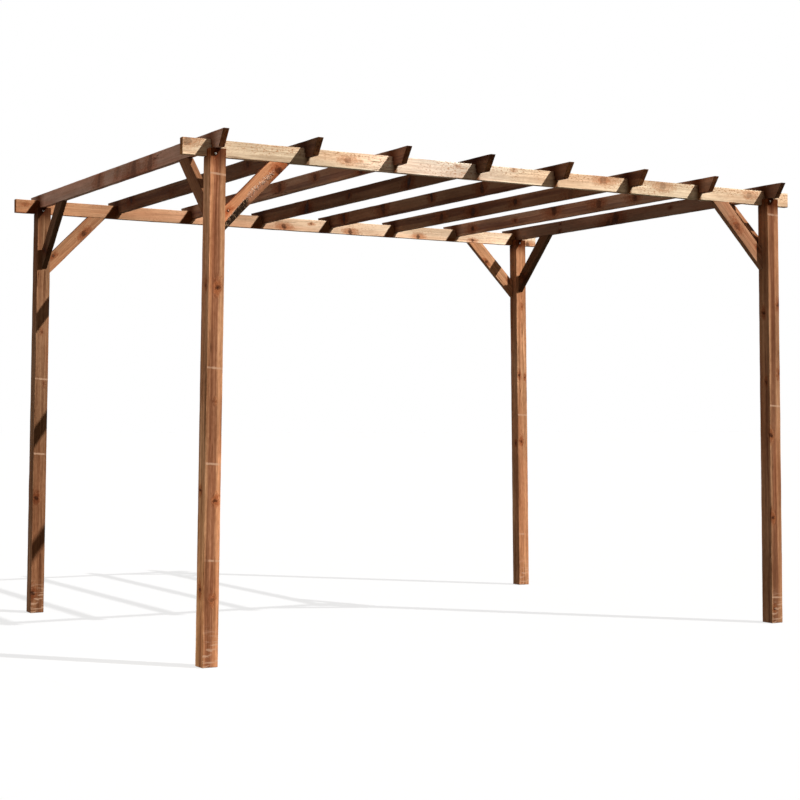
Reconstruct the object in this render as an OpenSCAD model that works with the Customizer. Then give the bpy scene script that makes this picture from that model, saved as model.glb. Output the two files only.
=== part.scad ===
// Free-standing garden pergola of sawn timber: four posts, two beams, a row of rafters and eight braces.
// The origin is on the ground below the middle of the roof, with +X along the beams, +Y to the back and +Z up.

/* [Posts] */
// Side of the square posts
post_side = 70; // [60:1:120]
// Spacing of the posts along the beams, centre to centre at their tops
post_span_x = 2980; // [2000:10:4500]
// Spacing of the posts along the rafters, centre to centre
post_span_y = 2200; // [1500:10:3500]
// How far each foot stands outside its post's top, along the beams
foot_splay = 30; // [0:1:80]
// Height of the shoulder that carries the beam, at the back of each post's head
shoulder_z = 2065; // [1700:5:2600]
// Height of the tongue that each post keeps in front of its beam
tongue_h = 30; // [15:1:45]

/* [Beams] */
// Thickness of the two beams
beam_t = 28; // [18:1:45]
// Height of the two beams
beam_h = 70; // [60:1:120]
// Length of a beam past the outer face of each post
beam_overhang = 105; // [40:5:300]

/* [Rafters] */
// Number of rafters
rafter_count = 8; // [4:1:12]
// Thickness of the rafters
rafter_t = 28; // [18:1:45]
// Height of the rafters
rafter_h = 70; // [60:1:120]
// Length of a rafter's top edge past the face of each beam
rafter_overhang = 120; // [80:5:300]
// How far the slanted end cut sets back a rafter's lower edge
rafter_rake = 48; // [0:1:70]

/* [Braces] */
// Thickness of the braces
brace_t = 28; // [18:1:32]
// Width of the braces, square to their length
brace_w = 70; // [40:1:90]
// Height of a brace, from its toe on the post to the timber that it props
brace_drop = 318; // [220:2:500]
// Slope of the braces, from level
brace_angle = 45; // [40:1:55]

/* [Joints] */
// Room on each side of a timber in its notch
notch_clear = 0.4; // [0:0.1:1.5]

/* [Hidden] */
// Share of the overlap of rafter and beam that is cut out of the rafter, and the rest out of the beam
rafter_lap_share = 0.5;
// Overrun of every cut past the face it opens
cut_over = 5;

// Heads of the posts, where the rafters rest
head_z = shoulder_z + tongue_h;
rafter_lap = (beam_h - tongue_h) * rafter_lap_share;
beam_lap = beam_h - tongue_h - rafter_lap;
// Lean of a post's faces, as a share of its height
lean_share = foot_splay / head_z;
// How far the posts stand forward of the beams that they carry, middle to middle
post_forward = (post_side - beam_t) / 2;
beam_length = post_span_x + post_side + 2 * beam_overhang;
// The outermost rafters run over the middle of the post heads
rafter_pitch = post_span_x / (rafter_count - 1);
rafter_reach = (post_span_y + beam_t) / 2 + rafter_overhang;
// Height of a brace's end, measured up its post
brace_rise = brace_w / cos(brace_angle);

// Sides of the frame: the name, and which way it lies along Y
SIDES = [["front", -1], ["back", 1]];
// Corners of the frame: the name, and which way it lies along X and Y
CORNERS = [
    ["front_left", -1, -1],
    ["front_right", 1, -1],
    ["back_right", 1, 1],
    ["back_left", -1, 1],
];
RAFTERS = [1 : rafter_count];

// Middle of a leaning post at a height, as a distance from the middle of the frame
function post_middle(z) = post_span_x / 2 + lean_share * (head_z - z);

// Middle of a rafter, counted from the left
function rafter_x(i) = -post_span_x / 2 + (i - 1) * rafter_pitch;

// Middle of a row of posts, and the front face of the beam on it
function row_y(sy) = sy * post_span_y / 2 - post_forward;
function beam_y(sy) = (sy * post_span_y - beam_t) / 2;

// Stands an outline drawn in X and Z upright, and gives it a thickness along Y from the given place
module slab_along_x(y, thickness) {
    translate([0, y + thickness, 0]) rotate([90, 0, 0]) linear_extrude(thickness) children();
}

// Stands an outline drawn in Y and Z upright, and gives it a thickness along X from the given place
module slab_along_y(x, thickness) {
    translate([x, 0, 0]) rotate([90, 0, 90]) linear_extrude(thickness) children();
}

// A leaning square post, with its foot and head cut level and a rebate for the beam at the back of its head
module post(sx, sy) {
    foot = sx * post_middle(0);
    head = sx * post_middle(head_z);
    half = post_side / 2;
    color("peru") difference() {
        slab_along_x(row_y(sy) - half, post_side)
            polygon([[foot - half, 0], [foot + half, 0], [head + half, head_z], [head - half, head_z]]);
        translate([head - post_side, beam_y(sy), shoulder_z])
            cube([2 * post_side, beam_t + cut_over, tongue_h + cut_over]);
    }
}

// A beam on the shoulders of two posts, notched on top for every rafter
module beam(sy) {
    notch_w = rafter_t + 2 * notch_clear;
    color("burlywood") difference() {
        translate([-beam_length / 2, beam_y(sy), shoulder_z]) cube([beam_length, beam_t, beam_h]);
        for (i = RAFTERS)
            translate([rafter_x(i) - notch_w / 2, beam_y(sy) - cut_over, shoulder_z + beam_h - beam_lap])
                cube([notch_w, beam_t + 2 * cut_over, beam_lap + cut_over]);
    }
}

// A rafter with slanted ends, notched from below over both beams
module rafter(i) {
    notch_w = beam_t + 2 * notch_clear;
    color("saddlebrown") slab_along_y(rafter_x(i) - rafter_t / 2, rafter_t) difference() {
        polygon([
            [-rafter_reach, head_z + rafter_h],
            [rafter_rake - rafter_reach, head_z],
            [rafter_reach - rafter_rake, head_z],
            [rafter_reach, head_z + rafter_h],
        ]);
        for (s = SIDES)
            translate([beam_y(s[1]) - notch_clear, head_z - cut_over])
                square([notch_w, rafter_lap + cut_over]);
    }
}

// Outline of a brace: its toe is at the given place, its foot follows a face that leans by the given share
// of its height, and it runs up to a level cut under the timber it props. The way is 1 or -1.
module brace_outline(toe, lean, way) {
    toe_z = -brace_drop;
    heel_rise = brace_rise / (1 - lean * tan(brace_angle));
    run = brace_drop / tan(brace_angle);
    top_w = brace_rise / tan(brace_angle);
    polygon([
        [toe, toe_z],
        [toe + way * lean * heel_rise, toe_z + heel_rise],
        [toe + way * (run - top_w), 0],
        [toe + way * run, 0],
    ]);
}

// A brace from a post's inner face up to the beam, in line with the beam's front face
module beam_brace(sx, sy) {
    toe = sx * (post_middle(shoulder_z - brace_drop) - post_side / 2);
    color("chocolate") translate([0, 0, shoulder_z])
        slab_along_x(beam_y(sy), brace_t) brace_outline(toe, lean_share, -sx);
}

// A brace from a post's inner face up to the outermost rafter, straight under it
module rafter_brace(sx, sy) {
    toe = row_y(sy) - sy * post_side / 2;
    color("sienna") translate([0, 0, head_z])
        slab_along_y((sx * post_span_x - brace_t) / 2, brace_t) brace_outline(toe, 0, -sy);
}

for (c = CORNERS)
    post(c[1], c[2]);
for (s = SIDES)
    beam(s[1]);
for (i = RAFTERS)
    rafter(i);
for (c = CORNERS)
    beam_brace(c[1], c[2]);
for (c = CORNERS)
    rafter_brace(c[1], c[2]);
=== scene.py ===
# %% [markdown]
# # A garden pergola in sawn softwood
# The construction is fixed: posts, beams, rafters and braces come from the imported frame, at their real size.
# This lesson makes each of those timbers again as a carpenter would, from a plain stick that is sawn, notched
# and eased, and then gives the wood its rings, knots, stain and wear. Nothing is moved or resized.

import math
import random
from dataclasses import dataclass, field

import bmesh
import bpy
from mathutils import Matrix, Vector, noise


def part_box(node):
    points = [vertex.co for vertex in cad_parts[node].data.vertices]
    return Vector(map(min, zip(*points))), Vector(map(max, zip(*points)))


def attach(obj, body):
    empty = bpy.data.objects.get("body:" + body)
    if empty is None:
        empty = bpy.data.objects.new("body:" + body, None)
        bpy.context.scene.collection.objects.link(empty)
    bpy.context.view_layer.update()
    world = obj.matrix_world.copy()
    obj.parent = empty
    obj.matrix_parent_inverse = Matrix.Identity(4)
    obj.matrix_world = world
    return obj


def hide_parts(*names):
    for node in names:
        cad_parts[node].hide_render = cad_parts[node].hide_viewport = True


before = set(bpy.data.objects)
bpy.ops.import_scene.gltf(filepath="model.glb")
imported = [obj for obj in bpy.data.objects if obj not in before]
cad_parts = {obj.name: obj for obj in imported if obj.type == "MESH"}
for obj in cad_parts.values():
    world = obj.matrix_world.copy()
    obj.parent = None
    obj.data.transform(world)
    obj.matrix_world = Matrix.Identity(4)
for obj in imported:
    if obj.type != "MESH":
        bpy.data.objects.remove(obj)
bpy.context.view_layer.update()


def placed(name, data):
    """A new object with the data it is given, linked into the scene."""
    thing = bpy.data.objects.new(name, data)
    bpy.context.scene.collection.objects.link(thing)
    return thing


# %% [markdown]
# ## The view
# The camera stands outside one corner, a little below eye level, and looks almost level along the frame.
# It could be placed by eye. Here it was worked out from the timbers' edges: the eye's place in metres, three
# angles in degrees, and the focal length in pixels of a square image.

# %% Camera
EYE = Vector((-4.239, -7.331, 0.993))
VIEW_TURN, VIEW_RISE, VIEW_ROLL = (math.radians(angle) for angle in (30.24, 0.72, 0.12))
FOCAL_PIXELS, IMAGE_SIDE, SENSOR = 1666.3, 800, 36.0

forward = Vector((math.sin(VIEW_TURN), math.cos(VIEW_TURN), math.tan(VIEW_RISE))).normalized()
level = Vector((math.cos(VIEW_TURN), -math.sin(VIEW_TURN), 0))
right = level * math.cos(VIEW_ROLL) + level.cross(forward) * math.sin(VIEW_ROLL)
lens = bpy.data.cameras.new("view")
lens.sensor_width = SENSOR
lens.lens = FOCAL_PIXELS * SENSOR / IMAGE_SIDE
camera = placed("view", lens)
camera.matrix_world = Matrix((right, right.cross(forward), -forward)).transposed().to_4x4()
camera.location = EYE
bpy.context.scene.camera = camera
print("camera: lens %.1f mm" % lens.lens)

# %% [markdown]
# ## Short calls for shader nodes
# Every finish below is a small net of nodes. Laying them out by hand takes many lines, so one helper holds
# the tree and has a call for each kind of step: arithmetic, vectors, noise, ramps and mixes of colours. A
# value given to it may be a number, a colour or the output of another node.

# %% Node helper
class Net:
    """Short calls for laying out shader nodes in one tree."""

    def __init__(self, tree):
        self.tree = tree

    def add(self, kind, inputs=None, **settings):
        node = self.tree.nodes.new("ShaderNode" + kind)
        for name, value in settings.items():
            setattr(node, name, value)
        for key, value in (inputs or {}).items():
            self.feed(node.inputs[key], value)
        return node

    def feed(self, socket, value):
        if isinstance(value, bpy.types.NodeSocket):
            self.tree.links.new(value, socket)
        else:
            socket.default_value = value

    def math(self, operation, *values):
        return self.add("Math", dict(enumerate(values)), operation=operation).outputs[0]

    def product(self, first, *others):
        for other in others:
            first = self.math("MULTIPLY", first, other)
        return first

    def less(self, value, other):
        return self.math("SUBTRACT", value, other)

    def line(self, value, slope, start):
        return self.math("MULTIPLY_ADD", value, slope, start)

    def vector(self, operation, *values, output="Vector"):
        return self.add("VectorMath", dict(enumerate(values)), operation=operation).outputs[output]

    def number(self, operation, *values):
        return self.vector(operation, *values, output="Value")

    def ramp(self, value, low, high, first, last, kind="LINEAR"):
        """Goes from a first value at low to a last one at high."""
        inputs = {"Value": value, "From Min": low, "From Max": high, "To Min": first, "To Max": last}
        return self.add("MapRange", inputs, interpolation_type=kind).outputs[0]

    def step(self, value, low, high):
        """Rises softly from 0 at low to 1 at high, or falls where low is the larger."""
        return self.ramp(value, low, high, 0.0, 1.0, "SMOOTHSTEP")

    def noise(self, place, across, along, detail, output=0):
        """Noise with so many waves for each metre across the grain and along it."""
        stretched = self.vector("MULTIPLY", place, (across, across, along))
        return self.add("TexNoise", {"Vector": stretched, "Scale": 1.0, "Detail": detail}).outputs[output]

    def about(self, value, reach):
        """A factor that swings by the reach about 1 as a noise value swings about its middle."""
        return self.line(value, 2 * reach, 1 - reach)

    def apart(self, value, middle):
        """How far a value lies from a middle, on either side."""
        return self.math("ABSOLUTE", self.less(value, middle))

    def mix(self, factor, first, second, how="MIX"):
        inputs = {0: factor, 6: first, 7: second}
        return self.add("Mix", inputs, data_type="RGBA", blend_type=how).outputs[2]


def node_group(name, inputs, outputs):
    """An empty group of nodes with sockets named by kind, for a pattern that many materials share."""
    tree = bpy.data.node_groups.new(name, "ShaderNodeTree")
    for in_out, sockets in (("INPUT", inputs), ("OUTPUT", outputs)):
        for kind, names in sockets.items():
            for socket in names.split():
                tree.interface.new_socket(socket, in_out=in_out, socket_type="NodeSocket" + kind)
    given = tree.nodes.new("NodeGroupInput").outputs
    result = tree.nodes.new("NodeGroupOutput").inputs
    return Net(tree), given, result


# %% [markdown]
# ## Floor, surroundings and light
# The frame stands on a plain pale floor under one key light from the front right. A soft warm fill comes from
# all round, as ground and timber throw it back, and a clearer glow from the left, where the key does not
# reach. A low lamp stands for bright ground on that side, which lights the foot of the nearest post. The
# floor and the surroundings show as white to the camera, while the rays that light the wood meet a dull floor
# and that weaker glow. So the white never brightens the timbers, their undersides stay dark, and the floor
# still takes a faint shadow. Key and fill together make a front face about as bright as its colour says.

# %% Floor, world and key light
FLOOR_REACH, FLOOR_DROP = 120.0, 0.0005
SHADOW_SHARE = 0.22
KEY_LEVEL, KEY_WIDTH = 4.8, math.radians(0.6)
KEY_WAY = Vector((-0.735, 0.85, -1.0))
FILL_LEVEL, LEFT_LEVEL = 0.10, 0.52
FILL_TONE, LEFT_TONE = Vector((1.32, 0.95, 0.62)), Vector((0.98, 1.03, 1.15))
LOW_LEVEL, LOW_SIDE, LOW_TONE = 1.5, 0.4, (1.0, 0.93, 0.72)
LOW_OFF, LOW_HEIGHT = 0.6, 0.18
PALE_FLOOR, DULL_FLOOR = (0.86, 0.86, 0.86, 1), (0.07, 0.07, 0.06, 1)


def seen_directly(net):
    """1 for rays that show a surface to the camera, straight or mirrored, and 0 for rays that light it."""
    path = net.add("LightPath").outputs
    mirrored = net.math("MAXIMUM", path["Is Glossy Ray"], path["Is Transmission Ray"])
    return net.math("MAXIMUM", path["Is Camera Ray"], mirrored)


def floor_finish():
    material = bpy.data.materials.new("pale_floor")
    material.use_nodes = True
    material.node_tree.nodes.clear()
    net = Net(material.node_tree)
    white = net.add("Emission", {"Strength": 1.0}).outputs[0]
    pale = net.add("BsdfDiffuse", {"Color": PALE_FLOOR}).outputs[0]
    dull = net.add("BsdfDiffuse", {"Color": DULL_FLOOR}).outputs[0]
    shown = net.add("MixShader", {0: SHADOW_SHARE, 1: white, 2: pale}).outputs[0]
    either = net.add("MixShader", {0: seen_directly(net), 1: dull, 2: shown}).outputs[0]
    net.add("OutputMaterial", {"Surface": either})
    return material


def lamp(name, kind, level, way):
    """A new lamp that shines one way."""
    light = placed(name, bpy.data.lights.new(name, kind))
    light.data.energy = level
    light.rotation_euler = way.to_track_quat("-Z", "Y").to_euler()
    return light


sheet = bmesh.new()
bmesh.ops.create_grid(sheet, x_segments=1, y_segments=1, size=FLOOR_REACH)
bmesh.ops.translate(sheet, vec=(0, 0, -FLOOR_DROP), verts=sheet.verts)
floor = placed("floor", bpy.data.meshes.new("floor"))
sheet.to_mesh(floor.data)
sheet.free()
floor.data.materials.append(floor_finish())

world = bpy.data.worlds.new("surroundings")
world.use_nodes = True
bpy.context.scene.world = world
sky = Net(world.node_tree)
backdrop = world.node_tree.nodes["Background"].inputs
backdrop["Strength"].default_value = 1.0
ray_way = sky.add("SeparateXYZ", {0: sky.add("TexCoord").outputs["Generated"]}).outputs
from_left = sky.math("MAXIMUM", sky.math("MULTIPLY", ray_way["X"], -1.0), 0.0)
left_share = sky.math("POWER", from_left, 2.0)
glow = sky.vector("MULTIPLY_ADD", left_share, tuple(LEFT_TONE * LEFT_LEVEL), tuple(FILL_TONE * FILL_LEVEL))
sky.feed(backdrop["Color"], sky.mix(seen_directly(sky), glow, (1, 1, 1, 1)))

key = lamp("key", "SUN", KEY_LEVEL, KEY_WAY)
key.data.angle = KEY_WIDTH
post_low, post_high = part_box("post_front_left")
low_lamp = lamp("low_lamp", "AREA", LOW_LEVEL, Vector((1, 0, 0)))
low_lamp.data.size, low_lamp.data.color = LOW_SIDE, LOW_TONE
low_lamp.location = post_low.x - LOW_OFF, (post_low.y + post_high.y) / 2, LOW_HEIGHT
low_lamp.visible_camera = False
bpy.context.scene.view_settings.view_transform = "Standard"
print("light: key from", tuple(-KEY_WAY), "fill", FILL_LEVEL, "to", FILL_LEVEL + LEFT_LEVEL)

# %% [markdown]
# ## Knots
# A knot is the foot of a branch: a cone that starts at the pith and runs outwards and a little upwards, so
# each face of the timber cuts it in its own way. A face across it shows a round knot, and a face along it
# shows a long dark spike. A painted spot could not do that, so each branch is a cone in space. The group
# below measures how far a place lies from one branch, in branch radii, and passes on the darkest so far.
# A knot has its own rings and a dark rim, and the halo round it tells the wood where its lines must swerve.

# %% Branch group
TWIST, HALO_DRAWN, CENTRE = (0.014, 0.014, 0.014), (1, 1, 0.32), (0.5, 0.5, 0.5)
FLARE, FLARE_START, UNEVEN = 6.0, 0.6, 0.65
KNOT_RINGS, KNOT_RING_DEPTH = 19.0, 0.08

branch, given, result = node_group(
    "branch",
    {"Vector": "Log Start Axis", "Float": "Size Depth Core Rim Halo"},
    {"Float": "Core Rim Halo"})
twist = branch.vector("SUBTRACT", branch.noise(given["Log"], 110, 80, 2, output=1), CENTRE)
twisted = branch.vector("MULTIPLY_ADD", twist, TWIST, given["Log"])
away = branch.vector("SUBTRACT", twisted, given["Start"])
reach = branch.number("DOT_PRODUCT", away, given["Axis"])
sideways = branch.vector("SUBTRACT", away, branch.vector("MULTIPLY", given["Axis"], reach))
outside = branch.math("GREATER_THAN", reach, 0.0)
radius = branch.product(branch.line(reach, FLARE, FLARE_START), given["Size"])
uneven = branch.about(branch.noise(given["Log"], 80, 60, 4), UNEVEN)
share = branch.product(branch.math("DIVIDE", branch.number("LENGTH", sideways), radius), uneven)
drawn_out = branch.vector("MULTIPLY", sideways, HALO_DRAWN)
spread = branch.product(branch.math("DIVIDE", branch.number("LENGTH", drawn_out), radius), uneven)
ring_wave = branch.math("COSINE", branch.product(share, KNOT_RINGS))
own_rings = branch.line(ring_wave, KNOT_RING_DEPTH, 1 - KNOT_RING_DEPTH)
core = branch.product(branch.step(share, 1.30, 0.45), own_rings, outside, given["Depth"], given["Depth"])
rim = branch.product(branch.step(branch.apart(share, 1.0), 0.42, 0.05), outside, given["Depth"])
halo = branch.product(branch.step(spread, 2.6, 0.6), outside, given["Depth"])
for name, own in (("Core", core), ("Rim", rim), ("Halo", halo)):
    branch.feed(result[name], branch.math("MAXIMUM", own, given[name]))
print("branch group:", len(branch.tree.nodes), "nodes")

# %% [markdown]
# ## Sawn softwood
# The timbers are cheap fast-grown softwood, sawn, then dipped in a brown preservative. The wood is a solid
# pattern, not a picture on the faces: rings lie round the pith, so the faces show their long lines and the
# ends show their arcs without a seam. Noise that is stretched along the log gives fibres, streaks and the
# dip's uneven uptake. Short cracks, saw marks, rubbed arrises with a painted highlight and thirsty dark ends
# are added on top. Knots crack and have eddies of grain round them, and painted shade and shadow make the
# wood darker and redder where the timbers meet.

# %% Wood group
RING_WIDTH = 0.0036
HEART_EDGE, HEART_BLUR = 0.0250, 0.0035
KNOT_SHARE, RIM_SHARE = (0.14, 0.080, 0.060), (0.10, 0.058, 0.042)
# The last share darkens the wood where painted shade and shadow lie at the joints
HALO_SHARE, DOT_SHARE, PAINTED_SHADE_SHARE = (0.76, 0.50, 0.37), (0.60, 0.38, 0.26), (0.26, 0.14, 0.075)
DARK_BIAS = (0.86, 1.06, 1.20)
RUSSET, OLIVE = (1.06, 0.965, 0.91, 1), (0.96, 1.01, 1.02, 1)
FRESH_TONE, GREY_END, CRACK_TONE = (0.68, 0.43, 0.28, 1), (0.130, 0.066, 0.027, 1), (0.012, 0.007, 0.005, 1)
PLAIN, END_WARMTH = (1, 1, 1, 1), (1.08, 0.80, 0.50, 1)
EDDY_TURN, EDDY_SHARE = 30.0, 0.65
LEFT = (-1, 0, 0)

wood, given, result = node_group(
    "sawn_softwood",
    {"Vector": "Log Shift Pith Half Along", "Color": "Sap Heart",
     "Float": "Core Rim Halo Fresh Speckle Lines Left Damp Ends"},
    {"Color": "Color", "Float": "Roughness Height"})
log, lines = given["Log"], given["Lines"]
core, rim, halo = given["Core"], given["Rim"], given["Halo"]
grain = wood.vector("ADD", log, given["Shift"])
wander = wood.vector("SUBTRACT", wood.noise(grain, 9, 1.1, 2, output=1), CENTRE)
bent = wood.vector("MULTIPLY_ADD", wander, (0.022, 0.022, 0), wood.vector("SUBTRACT", log, given["Pith"]))
flat = wood.vector("MULTIPLY", bent, (1, 1, 0))
from_pith = wood.line(halo, 0.013, wood.number("LENGTH", flat))
ring = wood.math("FRACT", wood.math("DIVIDE", from_pith, RING_WIDTH))
late = wood.product(wood.step(ring, 0.25, 0.85), wood.step(ring, 1.0, 0.93))

fibre = wood.noise(grain, 850, 16, 3)
streak = wood.noise(grain, 75, 1.6, 4)
stain = wood.noise(grain, 10, 2.4, 5)
saw_mark = wood.noise(grain, 7, 360, 2)
mottle = wood.noise(grain, 110, 38, 3)
streaks = wood.less(streak, 0.5)
heart_line = wood.line(streaks, 0.016, from_pith)
heart = wood.step(heart_line, HEART_EDGE + HEART_BLUR, HEART_EDGE - HEART_BLUR)
split_line = wood.apart(wood.noise(grain, 36, 0.7, 3), 0.5)
split_zone = wood.step(wood.noise(grain, 9, 1.2, 1), 0.57, 0.64)
check = wood.product(wood.step(split_line, 0.0065, 0.0015), split_zone)

normal = wood.add("NewGeometry").outputs["Normal"]
facing = wood.number("DOT_PRODUCT", normal, given["Along"])
cut_end = wood.step(wood.math("ABSOLUTE", facing), 0.45, 0.62)
left_light_mask = wood.step(wood.number("DOT_PRODUCT", normal, LEFT), 0.4, 0.8)
ray_line = wood.apart(wood.noise(wood.vector("NORMALIZE", flat), 5, 5, 2), 0.5)
end_crack = wood.product(wood.step(ray_line, 0.020, 0.004), cut_end)
end_dirt = wood.step(wood.noise(grain, 55, 55, 3), 0.40, 0.60)
vein = wood.apart(wood.noise(grain, 120, 90, 2), 0.5)
knot_crack = wood.product(wood.step(vein, 0.045, 0.012), core)

inside = wood.vector("SUBTRACT", given["Half"], wood.vector("ABSOLUTE", log))
gaps = wood.add("SeparateXYZ", {0: inside}).outputs
to_arris = wood.math("MAXIMUM", gaps["X"], gaps["Y"])
handled = wood.noise(grain, 30, 5, 3)
# Paler along stretches of the arrises: rubbed wear and a painted highlight
rubbed_and_highlit = wood.product(wood.step(to_arris, 0.008, 0.001), wood.step(handled, 0.44, 0.62))
grimy = wood.product(wood.step(to_arris, 0.007, 0.001), wood.step(handled, 0.48, 0.34))
upward = wood.add("SeparateXYZ", {0: log}).outputs["Y"]
dots = wood.step(wood.noise(grain, 150, 85, 2), 0.50, 0.66)
dotted = wood.step(wood.line(upward, 4.0, wood.noise(grain, 16, 6, 3)), 0.36, 0.68)
speckle = wood.product(dots, dotted, given["Speckle"])

tone = wood.product(
    wood.line(wood.product(late, lines), -0.36, 1.08),
    wood.about(fibre, 0.35), wood.about(stain, 0.75))
# A factor on the faces that look left paints light and shade on them
for part, share in (
        (wood.product(streaks, lines), 2.0),
        (wood.product(wood.less(mottle, 0.5), lines), 0.80),
        (left_light_mask, wood.less(given["Left"], 1.0)),
        (cut_end, wood.less(given["Ends"], 1.0)),
        (wood.product(cut_end, end_dirt), -0.45), (end_crack, -0.70),
        (rubbed_and_highlit, 0.40), (grimy, -0.40), (halo, -0.15), (check, -0.75)):
    tone = wood.product(tone, wood.line(part, share, 1.0))
body_tone = wood.mix(heart, given["Sap"], given["Heart"])
hue = wood.mix(wood.step(wood.noise(grain, 15, 1.3, 3), 0.36, 0.64), RUSSET, OLIVE)
warm_parts = {i: wood.math("POWER", tone, bias) for i, bias in enumerate(DARK_BIAS)}
warm_tone = wood.add("CombineXYZ", warm_parts).outputs[0]
colour = wood.vector("MULTIPLY", wood.vector("MULTIPLY", body_tone, warm_tone), hue)
colour = wood.vector("MULTIPLY", colour, wood.mix(cut_end, PLAIN, END_WARMTH))
grey_end = wood.product(cut_end, wood.less(1.0, end_dirt), 0.45)
colour = wood.mix(grey_end, colour, GREY_END)
eddy = wood.step(wood.math("COSINE", wood.product(halo, EDDY_TURN)), 0.2, 0.9)
eddy = wood.product(eddy, wood.step(halo, 0.0, 0.2), wood.less(1.0, core))
for shown in (wood.product(halo, 0.88), wood.product(eddy, EDDY_SHARE)):
    colour = wood.mix(shown, colour, wood.vector("MULTIPLY", colour, HALO_SHARE))
for part, depth, share in ((speckle, 0.90, DOT_SHARE), (core, 0.92, KNOT_SHARE),
                           (rim, 0.40, RIM_SHARE)):
    colour = wood.mix(wood.product(part, depth), colour, wood.vector("MULTIPLY", body_tone, share))
for part, depth, over in ((knot_crack, 0.70, CRACK_TONE), (given["Fresh"], 0.58, FRESH_TONE)):
    colour = wood.mix(wood.product(part, depth), colour, over)
# Painted shade and shadow at the joints: the colour goes darker and redder there
painted_shade = wood.product(given["Damp"], wood.about(stain, 0.5))
colour = wood.mix(painted_shade, colour, wood.vector("MULTIPLY", colour, PAINTED_SHADE_SHARE))
wood.feed(result["Color"], colour)
wood.feed(result["Roughness"], wood.line(fibre, 0.25, wood.line(core, -0.12, 0.68)))
height = 0.0
for part, rise in ((late, 0.25), (fibre, 0.55), (saw_mark, 0.40), (streak, 0.8), (check, -1.6),
                   (end_crack, -1.2), (knot_crack, -0.9), (rim, -0.5)):
    height = wood.line(part, rise, height)
wood.feed(result["Height"], height)
print("wood group:", len(wood.tree.nodes), "nodes")

# %% [markdown]
# ## One finish for each timber
# No two timbers are alike, so each gets a material of its own around the two shared groups. A Mapping node
# turns places in the frame into places in the log: through the timber, across it and along it, measured from
# the middle of the section. Knots are given by the place where each branch comes out of a face. Posts also
# keep pale bars where sticks kept them apart in the stack while the dip dried. The laps and the heads of the
# posts are painted darker: painted shade in the corners where timbers meet, and painted shadow on the beams
# beside each rafter.

# %% Finish of a timber
SAP, HEART = Vector((0.51, 0.237, 0.115)), Vector((0.30, 0.118, 0.056))
PALE_SAP, PALE_HEART = Vector((0.89, 0.645, 0.425)), Vector((0.72, 0.43, 0.24))
WEATHERED = Vector((0.45, 0.30, 0.245))
BLEACHED = Vector((0.93, 0.75, 0.59))
BRANCH_RISE = 0.30
BAR_WIDTH, BAR_EDGE, BAR_TILT = 0.012, 0.004, 0.06
# Heights between which the painted light on a post's left face goes from its low value to its high one
SHADE_LOW, SHADE_HIGH = 1.2, 1.9
SCUFF_TOP = 0.19
SPECULAR, TIMBER_BUMP = {"Specular IOR Level": 0.04}, (0.7, 0.0014)
SEED_STEP = 3.7

# Whole pitches that keep a remainder above 0
WRAPS = 20


class Finish(Net):
    """The nodes of one new material, from places on the object to its shader."""

    def __init__(self, name):
        self.material = bpy.data.materials.new(name)
        self.material.use_nodes = True
        super().__init__(self.material.node_tree)
        self.where = self.add("TexCoord").outputs["Object"]

    def close(self, colour, roughness, height, bump, fixed):
        """Feeds the shader, with a bump of some strength and depth and with fixed values."""
        inputs = {"Strength": bump[0], "Distance": bump[1], "Height": height}
        normal = self.add("Bump", inputs).outputs[0]
        values = {"Base Color": colour, "Roughness": roughness, "Normal": normal, **fixed}
        for socket, value in values.items():
            self.feed(self.tree.nodes["Principled BSDF"].inputs[socket], value)
        return self.material


class Stick:
    """A timber's own frame: its start, its length, and its unit directions along, through and across."""

    def __init__(self, start, along, through, half_through, half_across, length):
        self.start, self.along, self.through = Vector(start), Vector(along).normalized(), Vector(through)
        self.across = self.along.cross(self.through)
        self.half = Vector((half_through, half_across, 0))
        self.length = length
        self.turn = Matrix((self.through, self.across, self.along))

    def place(self, through, across, along):
        return self.start + self.through * through + self.across * across + self.along * along


@dataclass
class Wood:
    """What sets one timber apart: tones, pith, knots (along, through, across, radius, depth) and marks."""
    sap: Vector
    heart: Vector
    pith: tuple
    knots: list = field(default_factory=list)
    bars: tuple = ()
    far: tuple = ()
    bleached: tuple = ()
    # Where painted shade and shadow lie at the joints
    damp: tuple = ()
    lines: float = 1.0
    speckle: float = 0.0
    ends: float = 0.8
    # Painted light and shade on faces that look left, low and high on the timber
    left: tuple = (1.0, 1.0)


def tinted(tint, grey=0.0):
    """Tones of sapwood and heartwood under the dip, darker or paler by the tint, and greyed by weather."""
    return SAP.lerp(WEATHERED, grey) * tint, HEART.lerp(WEATHERED, grey) * tint


def knot_nodes(net, log, pith, knots):
    """One branch for each knot, chained together, with a depth only where a knot is faint."""
    found = {"Core": 0.0, "Rim": 0.0, "Halo": 0.0}
    for along, through, across, size, *depth in knots:
        way = Vector((through - pith[0], across - pith[1], 0))
        start = (pith[0], pith[1], along - BRANCH_RISE * way.length)
        axis = (way.normalized() + Vector((0, 0, BRANCH_RISE))).normalized()
        inputs = {"Log": log, "Start": start, "Axis": axis, "Size": size, "Depth": depth[0] if depth else 1.0}
        node = net.add("Group", {**inputs, **found}, node_tree=branch.tree)
        found = {socket: node.outputs[socket] for socket in found}
    return found


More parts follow.
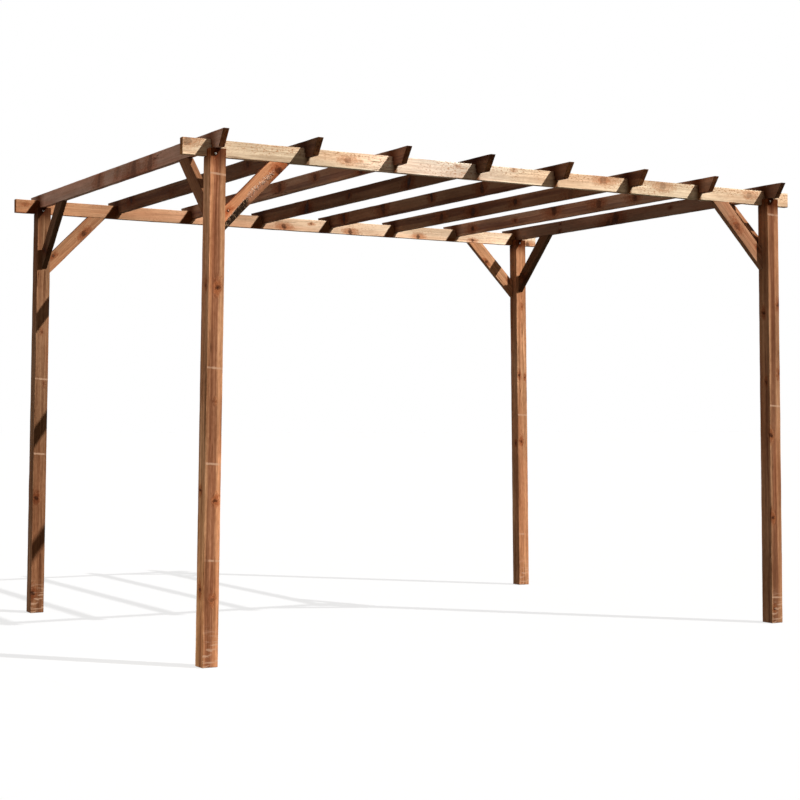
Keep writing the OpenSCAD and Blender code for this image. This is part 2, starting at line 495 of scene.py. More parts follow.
def stack_marks(net, log, place, way, bars):
    """Where a face is fresh: bars left by the sticks of the stack, and scuffs near the foot."""
    level = net.line(place["Y"], BAR_TILT, place["Z"])
    near = 1.0
    for bar in bars:
        near = net.math("MINIMUM", near, net.apart(level, bar))
    ragged = net.less(net.noise(log, 90, 40, 2), 0.5)
    near = net.line(ragged, 0.006, near)
    barred = net.step(near, BAR_WIDTH / 2, BAR_WIDTH / 2 - BAR_EDGE)
    scuffed = net.product(net.step(level, SCUFF_TOP, SCUFF_TOP / 3),
                             net.step(net.noise(log, 22, 120, 3), 0.50, 0.62))
    normal = net.add("NewGeometry").outputs["Normal"]
    front = net.step(net.number("DOT_PRODUCT", normal, way), 0.5, 0.8)
    worn = net.step(net.noise(log, 30, 3, 2), 0.30, 0.50)
    return net.product(net.math("MAXIMUM", barred, scuffed), front, worn)


def faded(net, along, near, far, length, bleached):
    """A tone that goes over from one to another along the timber, bleached about a place if one is given."""
    tone = net.mix(net.step(along, 0.0, length), (*near, 1), (*far, 1))
    if bleached:
        middle, reach = bleached
        tone = net.mix(net.step(net.apart(along, middle), reach, 0.0), tone, (*BLEACHED, 1))
    return tone


# Where painted shade and shadow lie at the joints
def painted_shade_mask(net, place, first, pitch, full, fade_end, lead_in=0.0, slant=0.0, start=1.0, growth=0.0):
    """1 in the corner at each crossing timber, up to one distance from it, falling to 0 at another. It lies
    on both sides of the crossing, or only before it. There it sets in over a lead-in, runs out wider below by
    the slant, and may reach further along the timber."""
    along = place["Z"]
    if not lead_in:
        off = net.math("PINGPONG", net.less(along, first), pitch / 2)
        return net.step(off, fade_end, full)
    off = net.math("MODULO", net.less(first + WRAPS * pitch, along), pitch)
    off = net.line(place["Y"], slant, off)
    off = net.math("DIVIDE", off, net.line(along, growth, start))
    return net.product(net.step(off, fade_end, full), net.step(off, 0.0, lead_in))


def timber_finish(name, stick, kind, seed, layer=None):
    """The material of one timber, from its frame, its wood and a seed, with a layer over the wood if any."""
    net = Finish(name)
    turned = {"Location": -(stick.turn @ stick.start), "Rotation": stick.turn.to_euler()}
    log = net.add("Mapping", {"Vector": net.where, **turned}).outputs[0]
    inputs = {"Log": log, "Shift": (0, 0, seed * SEED_STEP), "Pith": (*kind.pith, 0), "Half": stick.half,
              "Along": stick.along, "Sap": (*kind.sap, 1), "Heart": (*kind.heart, 1), "Lines": kind.lines,
              "Speckle": kind.speckle, "Ends": kind.ends, **knot_nodes(net, log, kind.pith, kind.knots)}
    place = net.add("SeparateXYZ", {0: log}).outputs
    along = place["Z"]
    # Painted light and shade on faces that look left
    inputs["Left"] = net.ramp(along, SHADE_LOW, SHADE_HIGH, *kind.left)
    # Painted shade and shadow at the joints
    if kind.damp:
        inputs["Damp"] = painted_shade_mask(net, place, *kind.damp)
    if kind.bars:
        inputs["Fresh"] = stack_marks(net, log, place, stick.through, kind.bars)
    if kind.far:
        for socket, near, far in (("Sap", kind.sap, kind.far[0]), ("Heart", kind.heart, kind.far[1])):
            inputs[socket] = faded(net, along, near, far, stick.length, kind.bleached)
    found = net.add("Group", inputs, node_tree=wood.tree).outputs
    colour, height = found["Color"], found["Height"]
    if layer:
        colour, height = layer(net, log, colour, height)
    return net.close(colour, found["Roughness"], height, TIMBER_BUMP, SPECULAR)


# %% [markdown]
# ## Sawing timbers
# Each timber starts as a box, because that is what the sawmill delivers. A carpenter's steps then map onto
# bmesh operators: bisect_plane is a saw cut that may drop the waste, extrude_face_region raises a tongue or a
# tooth, and bevel eases the arrises. Cross-cuts along the length add no shape by themselves, but give the
# arrises enough points to waver by part of a millimetre, as sawn and handled edges do.

# %% Carpentry helpers
ARRIS, ARRIS_STEPS = 0.0024, 2
STATION = 0.045
WAVER, WAVER_PER_METRE, WAVER_SINK = 0.0009, 14.0, 0.3
SHARP = math.radians(25)
CUT_DIST, SAME_PLACE = 1e-6, 1e-5
NOTCH_ROOM = 0.0004
open_edges = []


def sawn_box(low, high):
    bm = bmesh.new()
    bmesh.ops.create_cube(bm, size=1.0)
    bmesh.ops.scale(bm, vec=high - low, verts=bm.verts)
    bmesh.ops.translate(bm, vec=(low + high) / 2, verts=bm.verts)
    return bm


def mark(bm, point, normal, drop=False):
    """Cuts the surface along a plane, and drops what lies beyond it if asked to."""
    everything = bm.verts[:] + bm.edges[:] + bm.faces[:]
    return bmesh.ops.bisect_plane(
        bm, geom=everything, dist=CUT_DIST, plane_co=point, plane_no=normal, clear_outer=drop)["geom_cut"]


def saw_off(bm, point, normal):
    """Takes away what lies beyond a plane, on the side of its normal, and closes the cut."""
    edges = [part for part in mark(bm, point, normal, True) if isinstance(part, bmesh.types.BMEdge)]
    bmesh.ops.holes_fill(bm, edges=edges)


def raise_faces(bm, faces, way):
    """Draws faces out of the surface, and removes the old ones that would be left inside."""
    grown = bmesh.ops.extrude_face_region(bm, geom=faces)["geom"]
    verts = [part for part in grown if isinstance(part, bmesh.types.BMVert)]
    bmesh.ops.translate(bm, vec=way, verts=verts)
    bmesh.ops.delete(bm, geom=[f for f in faces if f.is_valid], context="FACES_ONLY")


def level_faces(bm, height):
    """The faces that lie level at one height."""
    return [f for f in bm.faces if all(abs(v.co.z - height) < SAME_PLACE for v in f.verts)]


def notched(bm, seat, edge, axis, crossing):
    """Draws a board out from the floor of its notches to its edge, beside each timber that crosses it."""
    way = Vector((0, 0, 0))
    way[axis] = 1
    notches = []
    for name in crossing:
        low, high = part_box(name)
        notches.append((low[axis] - NOTCH_ROOM, high[axis] + NOTCH_ROOM))
        for cut in notches[-1]:
            mark(bm, way * cut, way)
    stretches = []
    for face in level_faces(bm, seat):
        place = face.calc_center_median()[axis]
        if not any(start < place < end for start, end in notches):
            stretches.append(face)
    raise_faces(bm, stretches, Vector((0, 0, edge - seat)))
    return notches


def board_stick(low, high, axis, through):
    """The frame of a board on edge along one axis."""
    size, start, along = high - low, (low + high) / 2, Vector((0, 0, 0))
    start[axis], along[axis] = low[axis], 1
    return Stick(start, along, through, size[1 - axis] / 2, size.z / 2, size[axis])


def cone(bm, middle, way, **shape):
    """Adds a capped cone whose axis points one way."""
    turn = way.to_track_quat("Z", "Y").to_matrix().to_4x4()
    return bmesh.ops.create_cone(bm, cap_ends=True, matrix=Matrix.Translation(middle) @ turn, **shape)


def new_piece(name, bm, finish):
    """Makes a smooth-shaded object of a bmesh, which rides on the frame's one body."""
    mesh = bpy.data.meshes.new(name)
    bm.to_mesh(mesh)
    bm.free()
    mesh.materials.append(finish)
    mesh.polygons.foreach_set("use_smooth", [True] * len(mesh.polygons))
    piece = placed(name, mesh)
    piece.modifiers.new("even_faces", "WEIGHTED_NORMAL").keep_sharp = True
    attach(piece, "root")
    return piece


def finished(name, bm, stick, kind, seed, station=STATION, waney=None, layer=None):
    """Eases and wavers a timber's edges, makes it an object and puts it in the place of its node. A waney
    timber is carved on the way, and says which way its upper edge lies."""
    arrises = [e for e in bm.edges if len(e.link_faces) == 2 and e.calc_face_angle() > SHARP]
    bmesh.ops.bevel(bm, geom=arrises, offset=ARRIS, offset_type="OFFSET", segments=ARRIS_STEPS, profile=0.5,
                    affect="EDGES", material=-1, clamp_overlap=True)
    for i in range(1, int(stick.length / station)):
        mark(bm, stick.start + stick.along * (i * station), stick.along)
    if waney:
        carve_wane(bm, stick, waney)
    bmesh.ops.remove_doubles(bm, verts=bm.verts, dist=SAME_PLACE)
    bmesh.ops.recalc_face_normals(bm, faces=bm.faces)
    for v in bm.verts:
        raised = WAVER * (noise.noise(v.co * WAVER_PER_METRE + Vector((seed, 0, 0))) - WAVER_SINK)
        v.co += v.normal * raised
        v.co.z = max(v.co.z, 0.0)
    open_edges.append(sum(not e.is_manifold for e in bm.edges))
    piece = new_piece("dressed_" + name, bm, timber_finish(name + "_wood", stick, kind, seed, layer))
    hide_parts(name)
    return piece


def count(kind, pieces):
    print(kind + ":", [len(p.data.polygons) for p in pieces], "faces, open edges", open_edges)


# %% [markdown]
# ## Posts
# Each post is a square stick that leans in towards its head, with a rebate at the back of the head that
# leaves a tongue in front of the beam. The stick is made upright up to the shoulder. Its top is marked where
# the beam's face will be, the front part is raised as the tongue, and a shear gives the lean, which keeps the
# foot and the head level. The pith lies inside a post, so branches come out on all its sides in rows.

# %% Posts
SIDES = {"front": -1, "back": 1}
ENDS = {"left": -1, "right": 1}
POST_SEED = 11.0
# Dark spot round each screw head: iron stain, and painted shade of the countersink
STAIN_AND_SHADE_SIZE, STAIN_AND_SHADE_DEPTH = 0.0070, 0.87
# Painted shade round the head of a post: where it is full, and where it ends
HEAD_PAINTED_SHADE = (0.015, 0.100)

# Tongue screw of each post: distance from the middle of the front face, and height
TONGUE_SCREWS = {"front_left": (-0.012, 2.072), "front_right": (-0.018, 2.082),
                 "back_right": (-0.006, 2.075), "back_left": (-0.007, 2.078)}
# The last pair of each post is painted light and shade on its left face, low down and towards the head
POSTS = {
    "front_left": Wood(*tinted(1.06), (0.018, -0.007), [
        (1.53, 0.035, 0.006, 0.011), (1.54, 0.010, -0.035, 0.008), (1.07, 0.035, 0.004, 0.006, 0.4),
        (0.67, 0.035, 0.010, 0.008), (0.71, -0.010, -0.035, 0.007), (0.31, 0.000, -0.035, 0.010),
        (0.27, 0.035, 0.004, 0.009, 0.7)], (1.990, 1.205, 0.818, 0.429), left=(1.34, 1.62)),
    "front_right": Wood(*tinted(0.775), (0.016, -0.010), [
        (1.53, 0.000, -0.035, 0.009), (1.57, 0.030, 0.034, 0.009), (1.19, 0.012, -0.035, 0.009),
        (1.23, 0.028, 0.034, 0.009), (0.925, 0.034, -0.026, 0.011), (0.52, 0.034, -0.020, 0.011),
        (0.07, 0.034, -0.016, 0.008)], (2.015, 1.071, 0.127), lines=0.7, left=(1.13, 1.02)),
    "back_right": Wood(*tinted(1.00), (-0.012, 0.006), [
        (1.69, 0.035, 0.004, 0.006, 0.6), (1.27, 0.035, -0.020, 0.007), (1.26, 0.035, 0.020, 0.006),
        (0.87, 0.035, -0.010, 0.008), (0.86, 0.010, -0.035, 0.007)], (1.031, 0.308), left=(0.97, 0.70)),
    "back_left": Wood(*tinted(0.53), (0.006, 0.008), [
        (1.45, 0.035, -0.004, 0.006, 0.6), (1.18, 0.035, 0.012, 0.006, 0.6), (0.59, 0.035, -0.016, 0.010),
        (0.10, 0.030, -0.020, 0.010)], (1.206, 0.819), left=(1.48, 0.72)),
}


def post_piece(corner, number):
    name = "post_" + corner
    side, end = corner.split("_")
    out = ENDS[end]
    low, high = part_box(name)
    beam_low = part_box("beam_" + side)[0]
    width = high.y - low.y
    splay = high.x - low.x - width
    foot = Vector((low.x if out < 0 else high.x - width, low.y, 0))
    bm = sawn_box(foot, Vector((foot.x + width, high.y, beam_low.z)))
    top = level_faces(bm, beam_low.z)
    around = [part for face in top for part in (face, *face.edges, *face.verts)]
    bmesh.ops.bisect_plane(bm, geom=around, dist=CUT_DIST, plane_co=(0, beam_low.y, 0), plane_no=(0, 1, 0))
    tongue = [f for f in level_faces(bm, beam_low.z) if f.calc_center_median().y < beam_low.y]
    raise_faces(bm, tongue, Vector((0, 0, high.z - beam_low.z)))
    shear = Matrix.Identity(4)
    shear[0][2] = -out * splay / high.z
    bmesh.ops.transform(bm, matrix=shear, verts=bm.verts)

    middle = Vector((foot.x + width / 2, (low.y + high.y) / 2, 0))
    stick = Stick(middle, (shear[0][2], 0, 1), (0, -1, 0), width / 2, width / 2, high.z)
    across, up = TONGUE_SCREWS[corner]
    bright_screws.append((stick.place(width / 2, across, up), stick.through))
    kind = POSTS[corner]
    # Painted shade round the head of the post
    kind.damp = high.z, 2 * high.z, *HEAD_PAINTED_SHADE
    kind.knots.append((up, width / 2, across, STAIN_AND_SHADE_SIZE, STAIN_AND_SHADE_DEPTH))
    return finished(name, bm, stick, kind, POST_SEED + number)


bright_screws, dark_screws = [], []
posts = [post_piece(corner, number) for number, corner in enumerate(POSTS)]
count("posts", posts)

# %% [markdown]
# ## Beams
# A beam is a board on edge, with a notch in its top for every rafter. A notch could be cut with a boolean,
# which leaves untidy faces. Here the board is made up to the floor of the notches, marked at both sides of
# each rafter, and the stretches between the marks are raised as teeth. The front beam is the palest timber of
# all, mottled where the dip did not take. The pith of a board lies outside it, behind the face that shows.

# %% Beams
RAFTERS = sorted((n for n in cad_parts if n.startswith("rafter_") and "brace" not in n),
                 key=lambda n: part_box(n)[0].x)
BEAM_SEED = 31.0
LEAD_IN = 0.020

# Painted shadow beside each rafter, on its shaded side: where it is full, where it ends, how far it runs out
# below, and the share of its reach at the left end and for each metre
PAINTED_SHADE_REACH = {"front": (0.020, 0.066, 0.0, 0.55, 0.165), "back": (0.064, 0.080, 0.735)}

BEAMS = {
    "front": Wood(PALE_SAP * 0.90, PALE_HEART * 0.9, (0.060, -0.010), [
        (0.020, -0.014, 0.020, 0.013, 0.7), (0.757, -0.014, -0.001, 0.011, 0.60),
        (1.302, -0.014, 0.019, 0.004, 0.7), (1.605, -0.014, 0.026, 0.004, 0.6),
        (2.11, -0.014, 0.016, 0.014, 0.64), (2.459, -0.014, 0.012, 0.013, 0.58),
        (3.006, -0.014, 0.008, 0.011, 0.55)], far=(PALE_SAP * 0.93, PALE_HEART), bleached=(1.22, 0.55),
        lines=0.40, speckle=1.0),
    "back": Wood(SAP * 0.98, HEART * 1.25, (0.050, 0.020), [
        (0.05, -0.014, 0.010, 0.006, 0.5), (1.539, -0.014, -0.015, 0.011), (1.711, -0.014, 0.010, 0.005),
        (1.963, -0.014, -0.020, 0.011), (2.42, -0.014, -0.021, 0.010), (2.80, -0.014, -0.022, 0.007),
        (3.20, -0.014, -0.024, 0.012)], far=(Vector((0.95, 0.69, 0.47)), PALE_HEART * 1.25),
        lines=0.35, speckle=0.5),
}


def beam_piece(side, number):
    name = "beam_" + side
    low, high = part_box(name)
    seat = (high.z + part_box(RAFTERS[0])[0].z) / 2
    bm = sawn_box(low, Vector((high.x, high.y, seat)))
    notches = notched(bm, seat, high.z, 0, RAFTERS)
    stick = board_stick(low, high, 0, (0, 1, 0))
    kind = BEAMS[side]
    full, fade_end, *spread = PAINTED_SHADE_REACH[side]
    # Painted shadow, only on the shaded side of each rafter
    kind.damp = notches[0][1] - low.x, notches[1][0] - notches[0][0], full, fade_end, LEAD_IN, *spread
    return finished(name, bm, stick, kind, BEAM_SEED + number)


beams = [beam_piece(side, number) for number, side in enumerate(BEAMS)]
count("beams", beams)

# %% [markdown]
# ## Rafters
# A rafter is the same board as a beam, on edge across both beams, notched from below and sawn to a slant at
# both ends. It is made the other way up from a beam: the part over the notches first, then the three
# stretches between them are drawn down. The slant is read from the node, whose lower edge is shorter than its
# upper one. Branches climb through these boards at a slant, so their knots on the sides are tall and dark.
# Weather has greyed some boards and veiled their knots.

# %% Rafters
RAFTER_SEED = 53.0
KNOT_SIZE, KNOT_DRIFT, KNOT_DEPTH, KNOT_FADE = 0.0185, 1.0, 1.25, 0.45
KNOT_VEIL = 0.65
FELLOW_SHARE, FELLOW_OFF = 0.8, 4
# Painted shade on a rafter on both sides of each beam, out to this distance
RAFTER_PAINTED_SHADE = 0.105

# For each rafter: tint, greyness, share of light its ends keep, the pith behind and above the middle of the
# board, and the knots on its left side as (distance to the back, height above the middle)
RAFTER_WOOD = [
    (1.41, 0.62, 0.30, (-0.012, 0.052), ((-0.45, 0.004), (-0.25, -0.020), (-0.05, 0.006), (0.195, 0.004))),
    (0.37, 0.16, 2.20, (-0.010, 0.004), ((-0.55, 0.010), (0.02, -0.008), (0.316, -0.006), (0.88, 0.012))),
    (0.94, 0.29, 0.38, (-0.008, -0.012),
     ((-0.829, -0.026), (-0.383, 0.003), (-0.007, 0.001), (0.528, 0.021))),
    (0.35, 0.06, 0.90, (-0.006, 0.028), ((-0.53, 0.000), (0.067, 0.005), (0.537, -0.009))),
    (0.50, 0.08, 1.50, (-0.006, -0.034),
     ((-0.508, -0.003), (-0.036, 0.011), (0.468, 0.011), (0.912, -0.001))),
    (0.54, 0.09, 2.00, (-0.006, 0.010), ((-0.66, -0.005), (-0.174, 0.002), (0.233, -0.005), (0.558, -0.001))),
    (0.95, 0.26, 0.70, (-0.009, -0.006),
     ((-0.624, -0.001), (-0.324, 0.002), (0.08, 0.012), (0.457, -0.005), (0.899, -0.007))),
    (0.50, 0.31, 0.34, (-0.022, 0.030), ((-0.80, 0.010), (-0.387, 0.004), (0.089, -0.003), (0.622, -0.027))),
]


def rafter_piece(number):
    name = RAFTERS[number]
    low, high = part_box(name)
    seat = (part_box("beam_front")[1].z + low.z) / 2
    bm = sawn_box(Vector((low.x, low.y, seat)), high)
    notches = notched(bm, seat, low.z, 1, ["beam_" + side for side in SIDES])
    lower = [v.co.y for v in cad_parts[name].data.vertices if v.co.z - low.z < NOTCH_ROOM]
    rake = min(lower) - low.y
    for end in (-1, 1):
        tip = Vector((0, low.y if end < 0 else high.y, high.z))
        saw_off(bm, tip, Vector((0, end * (high.z - low.z), -rake)).normalized())

    stick = board_stick(low, high, 1, (-1, 0, 0))
    half_through = stick.half.x
    middles = [sum(notch) / 2 for notch in notches]
    for y in middles:
        dark_screws.append((Vector((stick.start.x, y, high.z)), Vector((0, 0, 1))))
    tint, grey, ends, pith, places = RAFTER_WOOD[number]
    knots = []
    for back, rise in places:
        drift = noise.noise(Vector((back * 7, number * 3.1, RAFTER_SEED)))
        size = KNOT_SIZE * (1 + KNOT_DRIFT * drift)
        depth = KNOT_DEPTH - KNOT_FADE * abs(noise.noise(Vector((number * 5.3, back * 11, RAFTER_SEED)))) * 2
        knots.append((back - low.y, half_through, rise, size, depth * (1 - KNOT_VEIL * grey)))
        fellow = back - low.y + size * drift * FELLOW_OFF
        knots.append((fellow, -half_through, -rise, size * FELLOW_SHARE))
    kind = Wood(*tinted(tint, grey), pith, knots, lines=0.4, ends=ends)
    # Painted shade near the beams
    kind.damp = middles[0] - low.y, middles[1] - middles[0], 0.0, RAFTER_PAINTED_SHADE
    return finished(name, bm, stick, kind, RAFTER_SEED + number)


rafters = [rafter_piece(number) for number in range(len(RAFTERS))]
count("rafters", rafters)

# %% [markdown]
# ## Bark on a waney edge
# An offcut often comes from the edge of the log, where the saw ran out of the wood. There the lower half of
# one brace keeps the log's own surface: smooth and reddish under the lost bark, with dark cracked bark left
# towards the foot and pale torn flecks where the sawn face begins. The carved mesh tells the finish how far
# each point lies inside that strip, in a vertex attribute, so colour and shape always agree.

# %% Bark layer
UNDER_BARK, TORN_WOOD = (0.36, 0.165, 0.095, 1), (0.78, 0.56, 0.41, 1)
BARK_DARK, BARK_GAP = (0.026, 0.014, 0.008, 1), (0.33, 0.20, 0.11, 1)
BARK_TOP = 0.19
TORN_LOW, TORN_HIGH, TORN_BLUR = 0.06, 0.37, 0.03


def bark_layer(net, log, colour, height):
    """Lays the log's own surface over the sawn wood, where the wane attribute is above 0."""
    wane = net.add("Attribute", attribute_name="wane").outputs["Fac"]
    along = net.add("SeparateXYZ", {0: log}).outputs["Z"]
    ragged = net.less(net.noise(log, 120, 90, 3), 0.5)
    strip = net.line(ragged, 0.30, wane)
    patch = net.noise(log, 45, 28, 3)
    skin = net.mix(net.product(patch, 0.5), UNDER_BARK, colour)
    skin = net.mix(1.0, skin, colour, "DARKEN")
    hatch = net.step(net.noise(log, 55, 270, 3), 0.53, 0.67)
    foot = net.step(net.line(patch, 0.08, along), BARK_TOP + 0.06, BARK_TOP + 0.03)
    barky = net.product(foot, net.step(strip, 0.0, 0.08), net.step(strip, 1.08, 0.92))
    skin = net.mix(barky, skin, net.mix(hatch, BARK_DARK, BARK_GAP))
    over = net.mix(net.step(strip, -0.03, 0.05), colour, skin)
    rough = net.step(net.noise(log, 75, 190, 2), 0.50, 0.60)
    reach = net.ramp(along, BARK_TOP, BARK_TOP + 0.05, 0.10, 0.34)
    beside = net.math("DIVIDE", net.math("ABSOLUTE", strip), reach)
    torn = net.product(
        net.step(beside, 1.0, 0.5), rough, net.step(along, TORN_LOW, TORN_LOW + TORN_BLUR),
        net.step(along, TORN_HIGH, TORN_HIGH - TORN_BLUR))
    raised = net.line(torn, 1.5, net.line(net.product(barky, hatch), 2.5, height))
    return net.mix(net.product(torn, 0.70), over, TORN_WOOD), raised


# %% [markdown]
# ## Braces
# A brace is an offcut of the same board, laid at 45 degrees and sawn off along the post and under the timber
# it props. The stick is made along its own axis, turned into place and cut by those two planes, as on the
# bench. The wane is carved after that: the face is cut into narrow lanes, and the points below the edge of
# the wane sink in along a curve like the round of a log, deepest at the lower arris.

# %% Braces
BRACE_SEED, RAFTER_BRACE_SEED = 71.0, 81.0
BRACE_SPARE = 0.12
SCREW_ALONG, SCREW_ASIDE = 0.094, 0.014
WANE_ENDS, WANE_MIDDLE, WANE_DEPTH_SHARE = 0.021, 0.035, 0.34
WANE_LANE, WANE_STATION = 0.0045, 0.006
BARK_RISE, BARK_PER_METRE = 0.0011, 140.0
RUDDY_SAP, RUDDY_HEART = Vector((0.59, 0.247, 0.115)), Vector((0.35, 0.125, 0.058))

# Each beam brace's wood, which of them is waney, and the tint of each rafter brace, with painted shade
# darkening the two at the back
BEAM_BRACES = {
    "front_left": Wood(RUDDY_SAP, RUDDY_HEART, (-0.020, -0.030), [(0.385, 0.010, 0.020, 0.015)], lines=0.5),
    "front_right": Wood(
        *tinted(0.90, 0.14), (-0.030, 0.020), [(0.26, 0.014, -0.006, 0.013, 0.65)], lines=0.6),
    "back_right": Wood(*tinted(1.12), (-0.030, 0.010), [(0.28, 0.014, -0.024, 0.008)], lines=0.6),
    "back_left": Wood(*tinted(0.80), (-0.040, 0.000), [(0.30, 0.014, 0.012, 0.012, 0.9)], lines=0.6),
}
WANEY = "beam_brace_front_left"
RAFTER_BRACE_TONE_AND_SHADE = {"front_left": 0.53, "front_right": 0.60, "back_right": 0.25, "back_left": 0.27}
RAFTER_BRACE_PITH = (0.01, -0.06)


def wane_width(share):
    """Width of the wane on the face at a share of the brace's length, widest in the middle."""
    return WANE_ENDS + (WANE_MIDDLE - WANE_ENDS) * math.sin(math.pi * min(max(share, 0.0), 1.0))


def carve_wane(bm, stick, upper):
    """Sinks the lower front edge of a brace, and notes how far inside the wane each point is."""
    lower = stick.start - upper * stick.half.y
    for lane in range(1, int(WANE_MIDDLE / WANE_LANE) + 2):
        mark(bm, lower + upper * (lane * WANE_LANE), upper)
    wane = bm.verts.layers.float.new("wane")
    for v in bm.verts:
        width = wane_width((v.co - stick.start).dot(stick.along) / stick.length)
        inside = 1 - (v.co - lower).dot(upper) / width
        front = (v.co - stick.start).dot(stick.through) > 0
        v[wane] = inside if front else -1.0
        if front and inside > 0:
            sink = WANE_DEPTH_SHARE * width * (0.45 * inside + 0.55 * inside ** 2)
            sink += BARK_RISE * noise.noise(v.co * BARK_PER_METRE)
            v.co -= stick.through * sink


def brace_piece(name, stick, upper, planes, kind, seed):
    half = stick.half
    low, high = Vector((-half.x, -half.y, -BRACE_SPARE)), Vector((half.x, half.y, stick.length + BRACE_SPARE))
    bm = sawn_box(low, high)
    turn = stick.turn.transposed().to_4x4()
    bmesh.ops.transform(bm, matrix=Matrix.Translation(stick.start) @ turn, verts=bm.verts)
    for point, normal in planes:
        saw_off(bm, point, normal)
    aside = math.copysign(SCREW_ASIDE, upper.dot(stick.across))
    dark_screws.append((stick.place(half.x, aside, SCREW_ALONG), stick.through))
    kind.knots.append((SCREW_ALONG, half.x, aside, STAIN_AND_SHADE_SIZE, STAIN_AND_SHADE_DEPTH))
    if name == WANEY:
        return finished(name, bm, stick, kind, seed, WANE_STATION, upper, bark_layer)
    return finished(name, bm, stick, kind, seed)


# %% Place the braces
def size_of(name):
    low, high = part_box(name)
    return high - low


braces = []
for number, corner in enumerate(BEAM_BRACES):
    side, end = corner.split("_")
    width, length = size_of("beam_" + side).z, size_of("beam_brace_" + corner).z * math.sqrt(2)
    post = size_of("post_" + corner)
    lean = (post.x - post.y) / post.z
    plain = Wood(*tinted(RAFTER_BRACE_TONE_AND_SHADE[corner]), RAFTER_BRACE_PITH, lines=0.6)
    for start, axis, outward, through, kind, seed in (
            ("beam_brace_", 0, Vector((ENDS[end], 0, lean)), (0, -1, 0), BEAM_BRACES[corner], BRACE_SEED),
            ("rafter_brace_", 1, Vector((0, SIDES[side], 0)), (-1, 0, 0), plain, RAFTER_BRACE_SEED)):
        name = start + corner
        low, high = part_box(name)
        toe, along = (low + high) / 2, Vector((0, 0, 1))
        toe.z = low.z
        toe[axis] = high[axis] if outward[axis] > 0 else low[axis]
        along[axis] = -outward[axis]
        along.normalize()
        upper = Vector((-along.x, -along.y, along.z))
        half_through = size_of(name)[1 - axis] / 2
        stick = Stick(toe + upper * (width / 2), along, through, half_through, width / 2, length)
        planes = [(toe, outward.normalized()), (high, Vector((0, 0, 1)))]
        braces.append(brace_piece(name, stick, upper, planes, kind, seed + number))
        if name == WANEY:
            torn_edge = stick, upper
count("braces", braces)

# %% [markdown]
# ## Torn fibres
# Along the upper edge of that wane the wood was torn, not sawn, and short pale slivers stand a little off the
# face. They are too thin for the brace's own mesh, so each is a slender cone laid along the grain. All are
# one piece, placed by a seeded draw, so every run gives the same ones.

# %% Torn fibres
SLIVERS, SLIVER_SEED = 90, 5
SLIVER_LENGTH, SLIVER_THICK, SLIVER_SIDES = (0.004, 0.011), 0.0013, 5
SLIVER_DRIFT = 0.010
SLIVER_LAY, SLIVER_SLANT, SLIVER_LIFT = 0.6, (-1.2, 0.4), (0.02, 0.2)
TORN_BUMP = (0.5, 0.0005)


def torn_finish():
    net = Finish("torn_fibres")
    shade = net.noise(net.where, 160, 160, 2)
    fuzz = net.noise(net.where, 900, 900, 2)
    roughness = net.line(shade, 0.2, 0.7)
    return net.close(net.mix(shade, UNDER_BARK, TORN_WOOD), roughness, fuzz, TORN_BUMP, SPECULAR)


stick, upper = torn_edge
draw = random.Random(SLIVER_SEED)
slivers = bmesh.new()
for i in range(SLIVERS):
    along = draw.uniform(BARK_TOP, TORN_HIGH)
    edge = wane_width(along / stick.length) - stick.half.y + draw.uniform(-SLIVER_DRIFT, SLIVER_DRIFT)
    length = draw.uniform(*SLIVER_LENGTH)
    way = stick.along * SLIVER_LAY + upper * draw.uniform(*SLIVER_SLANT)
    way = (way + stick.through * draw.uniform(*SLIVER_LIFT)).normalized()
    base = stick.start + stick.along * along + upper * edge
    base += stick.through * (stick.half.x - SLIVER_THICK / 2)
    cone(slivers, base + way * (length / 2), way, segments=SLIVER_SIDES, radius1=SLIVER_THICK,
         radius2=SLIVER_THICK / 5, depth=length)
torn = new_piece("torn_fibres", slivers, torn_finish())
print("torn fibres:", SLIVERS, "slivers,", len(torn.data.polygons), "faces")

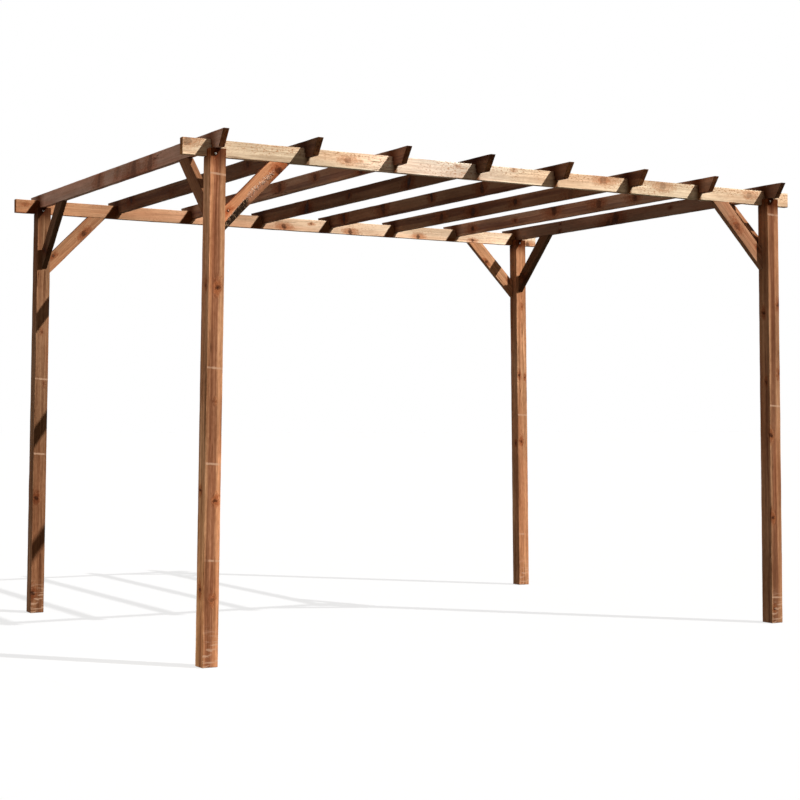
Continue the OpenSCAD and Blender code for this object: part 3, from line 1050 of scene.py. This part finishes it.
# %% [markdown]
# ## Screws
# Countersunk screws hold every tongue to its beam, every brace to its post and every rafter to the beams. A
# head is a cone with its wide end outwards, and its socket is the cap of that cone, inset and sunk. The iron
# has stained the wet wood round each head, and the finishes of posts and braces show it as a dark spot that
# is also painted shade of the countersink. Two kinds show: bright zinc in the tongues, and brown coated ones
# in the braces and rafters, whose dark brown is also painted shade of a sunk head.

# %% Screws
HEAD_RADIUS, HEAD_DEPTH, HEAD_PROUD, HEAD_SIDES = 0.0046, 0.0030, 0.0008, 20
SOCKET_SHARE, SOCKET_DEPTH = 0.45, 0.0014
ZINC_TONES = (0.72, 0.69, 0.62, 1), (0.30, 0.24, 0.17, 1)
# Brown coated heads, darkened as painted shade of a sunk head
COATED_AND_SHADED_TONES = (0.12, 0.085, 0.06, 1), (0.06, 0.04, 0.03, 1)
SCREW_BUMP = (0.4, 0.0002)


def screw_finish(name, clean, tarnished):
    net = Finish(name)
    tarnish = net.step(net.noise(net.where, 420, 420, 3), 0.42, 0.66)
    colour, roughness = net.mix(tarnish, clean, tarnished), net.line(tarnish, 0.25, 0.32)
    return net.close(colour, roughness, tarnish, SCREW_BUMP, {"Metallic": 1.0})


def screw_head(bm, place, way):
    """A countersunk head, nearly flush, with a socket in its middle."""
    middle = place + way * (HEAD_PROUD - HEAD_DEPTH / 2)
    made = cone(bm, middle, way, segments=HEAD_SIDES, radius1=HEAD_RADIUS / 2, radius2=HEAD_RADIUS,
                depth=HEAD_DEPTH)
    bm.normal_update()
    faces = {f for v in made["verts"] for f in v.link_faces}
    cap = [f for f in faces if f.normal.dot(way) > 0.9]
    bmesh.ops.inset_region(bm, faces=cap, thickness=HEAD_RADIUS * (1 - SOCKET_SHARE), depth=-SOCKET_DEPTH)


def screw_piece(name, places, tones):
    heads = bmesh.new()
    for place, way in places:
        screw_head(heads, place, way)
    piece = new_piece(name, heads, screw_finish(name + "_metal", *tones))
    print(name + ":", len(places), "heads,", len(piece.data.polygons), "faces")


screw_piece("zinc_screws", bright_screws, ZINC_TONES)
screw_piece("coated_shaded_screws", dark_screws, COATED_AND_SHADED_TONES)
